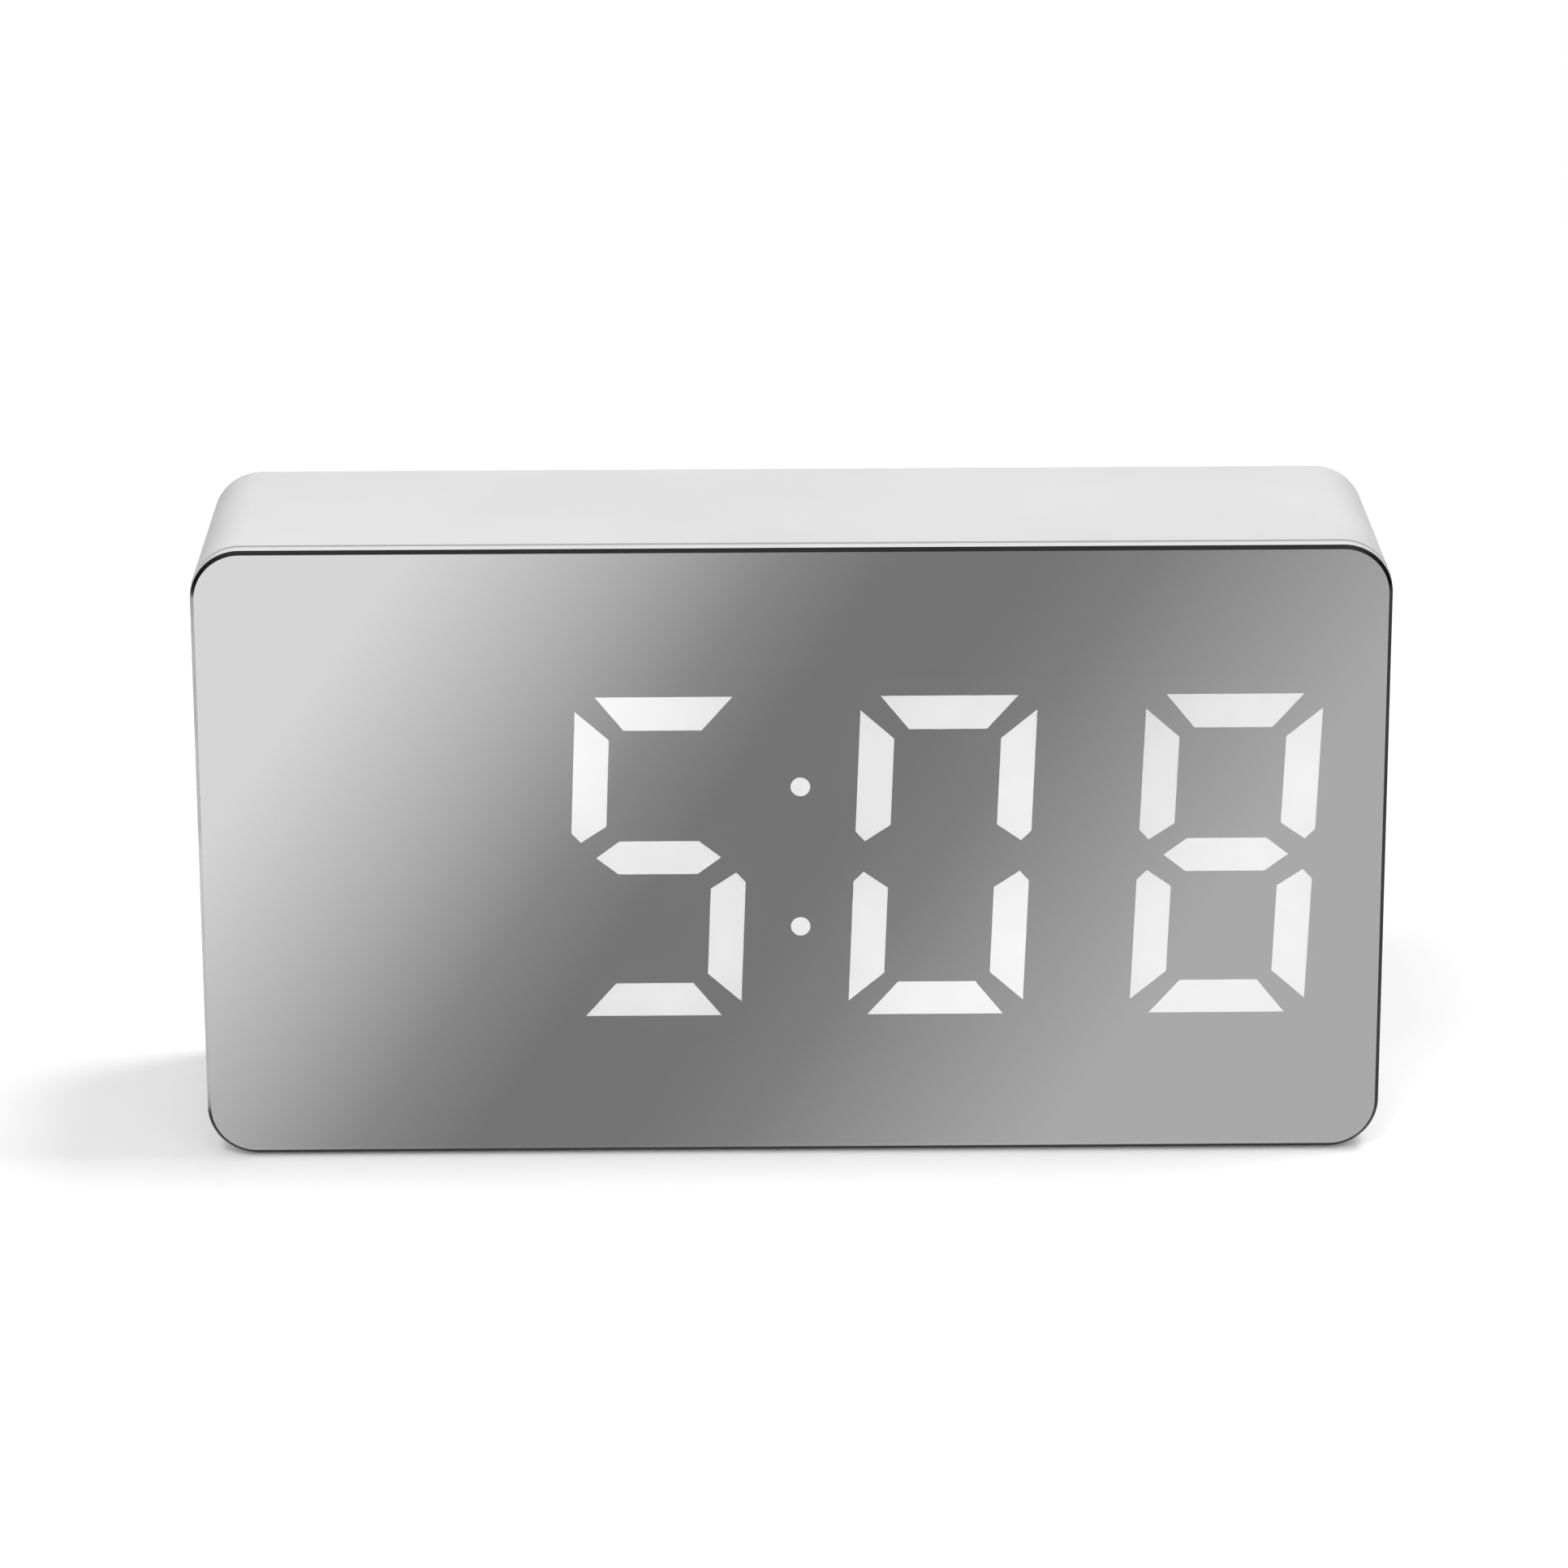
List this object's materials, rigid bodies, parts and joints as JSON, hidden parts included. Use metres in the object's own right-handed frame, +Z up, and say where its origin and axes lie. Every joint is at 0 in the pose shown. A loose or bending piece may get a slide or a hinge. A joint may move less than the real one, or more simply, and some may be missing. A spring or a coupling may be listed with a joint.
{
  "type": "digital desk clock",
  "caption": "Free-standing white desk clock with a full half-mirror front that shows lit seven-segment time, a battery door, power inlet and push buttons behind.",
  "frame": {"origin": "middle of the base, on the surface that the clock stands on", "axes": "+X to the right as the mirror is looked at, +Y from the mirror to the back, +Z up"},
  "size_m": [0.14, 0.0376, 0.075],
  "materials": {
    "white_abs": "fine moulded grain",
    "pale_grey_abs": "smooth moulded",
    "half_mirror_acrylic": "half-mirror coating on the back",
    "black_abs": "matt moulded",
    "lit_resin": "diffusing resin, lit",
    "dark_resin": "diffusing resin, unlit",
    "led_package": "moulded package",
    "circuit_board": "solder mask",
    "black_epoxy": "moulded",
    "tinned_metal": "tinned",
    "nickel_steel": "nickel plated",
    "zinc_steel": "zinc plated",
    "bare_can": "drawn can",
    "cell_jacket": "printed sleeve, bare",
    "rubber_pad": "soft matt",
    "black_foam": "open-cell foam",
    "clear_tape": "double-sided tape",
    "grey_pvc": "ribbed flat cable",
    "red_pvc": "lead insulation",
    "black_pvc": "lead insulation"
  },
  "bodies": {
    "clock": {"board_screws": "zinc_steel", "bottom_cell": "cell_jacket", "bottom_contact_spring": "nickel_steel", "buzzer": "black_abs", "case_screws": "zinc_steel", "colon_dots": "lit_resin", "colon_leds": "led_package", "contact_plates": "nickel_steel", "controller_chip": "black_epoxy", "controller_leads": "tinned_metal", "display_housing": "black_abs", "filter_capacitor": "bare_can", "flat_cable": "grey_pvc", "front_case": "white_abs", "hours_dark_segments": "dark_resin", "hours_lit_segments": "lit_resin", "hours_tens_dark_segments": "dark_resin", "inlet_shell": "nickel_steel", "inlet_tongue": "black_abs", "key_board": "circuit_board", "key_board_screws": "zinc_steel", "key_header": "black_abs", "key_switches": "black_abs", "led_chips": "led_package", "lens_tape": "clear_tape", "light_gasket": "black_foam", "main_board": "circuit_board", "main_header": "black_abs", "middle_cell": "cell_jacket", "middle_contact_spring": "nickel_steel", "minutes_lit_segments": "lit_resin", "minutes_tens_dark_segments": "dark_resin", "minutes_tens_lit_segments": "lit_resin", "mirror_lens": "half_mirror_acrylic", "negative_lead": "black_pvc", "positive_lead": "red_pvc", "quartz_crystal": "bare_can", "rear_cover": "white_abs", "rubber_feet": "rubber_pad", "segment_resistors": "black_epoxy", "top_cell": "cell_jacket", "top_contact_spring": "nickel_steel"},
    "battery_door": {"battery_door": "white_abs"},
    "mode_button": {"mode_button": "pale_grey_abs", "mode_plunger": "black_abs"},
    "set_button": {"set_button": "pale_grey_abs", "set_plunger": "black_abs"},
    "up_button": {"up_button": "pale_grey_abs", "up_plunger": "black_abs"},
    "down_button": {"down_button": "pale_grey_abs", "down_plunger": "black_abs"}
  },
  "joints": [
    {"name": "battery_door_hinge", "type": "hinge", "parent": "clock", "child": "battery_door", "pos_m": [0.03625, 0.01775, 0.01795], "axis": [-1, 0, 0], "range_deg": [0, 60]},
    {"name": "mode_press", "type": "slide", "parent": "clock", "child": "mode_button", "axis": [0, -1, 0], "range_m": [0, 0.00035], "stiffness_N_per_m": 2000},
    {"name": "set_press", "type": "slide", "parent": "clock", "child": "set_button", "axis": [0, -1, 0], "range_m": [0, 0.00035], "stiffness_N_per_m": 2000},
    {"name": "up_press", "type": "slide", "parent": "clock", "child": "up_button", "axis": [0, -1, 0], "range_m": [0, 0.00035], "stiffness_N_per_m": 2000},
    {"name": "down_press", "type": "slide", "parent": "clock", "child": "down_button", "axis": [0, -1, 0], "range_m": [0, 0.00035], "stiffness_N_per_m": 2000}
  ]
}
